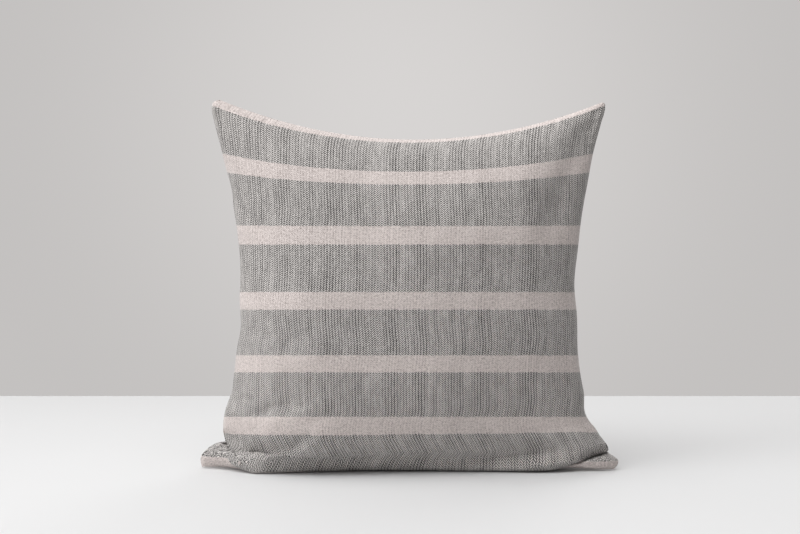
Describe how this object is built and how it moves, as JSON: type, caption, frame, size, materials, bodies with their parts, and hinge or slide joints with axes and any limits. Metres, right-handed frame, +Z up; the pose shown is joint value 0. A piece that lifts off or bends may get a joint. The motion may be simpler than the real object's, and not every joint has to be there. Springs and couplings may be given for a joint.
{
  "type": "throw pillow",
  "caption": "Square zipped throw pillow, a striped woven cover over a stuffed insert, standing on its bottom edge.",
  "frame": {"origin": "on the surface that the pillow stands on, under the middle of its bounding box", "axes": "+Z up, -Y out of the striped front face, +X to the right of someone who faces the front"},
  "size_m": [0.4582, 0.1569, 0.404],
  "materials": {
    "woven_cover": "matt herringbone weave in charcoal and off-white yarns with broad pale stripes",
    "sewing_thread": "spun polyester thread",
    "zip_tape": "woven tape",
    "zip_coil": "nylon coil",
    "zip_metal": "nickel plated die casting",
    "insert_cloth": "plain nonwoven",
    "fibre_fill": "polyester fibre",
    "label_satin": "blank satin ribbon"
  },
  "bodies": {
    "pillow": {"front_panel": "woven_cover", "back_upper_panel": "woven_cover", "back_lower_panel": "woven_cover", "cover_seam_thread": "sewing_thread", "seam_overlock_thread": "sewing_thread", "zip_stitch_upper": "sewing_thread", "zip_stitch_lower": "sewing_thread", "zip_tape_upper": "zip_tape", "zip_tape_lower": "zip_tape", "zip_coil_upper": "zip_coil", "zip_coil_lower": "zip_coil", "zip_top_stop_upper": "zip_metal", "zip_top_stop_lower": "zip_metal", "zip_bottom_stop": "zip_metal", "insert_shell_front": "insert_cloth", "insert_shell_back": "insert_cloth", "insert_fill": "fibre_fill", "insert_seam_thread": "sewing_thread", "care_label": "label_satin", "insert_label": "label_satin"},
    "slider": {"zip_slider": "zip_metal"},
    "pull": {"zip_pull": "zip_metal"}
  },
  "joints": [
    {"name": "zip_travel", "type": "hinge", "parent": "pillow", "child": "slider", "pos_m": [0, -0.353, 0.085], "axis": [0, 0, 1], "range_deg": [0, 40.2]},
    {"name": "pull_flip", "type": "hinge", "parent": "slider", "child": "pull", "pos_m": [0.14722, 0.04297, 0.085], "axis": [0, 0, -1], "range_deg": [0, 180]}
  ]
}
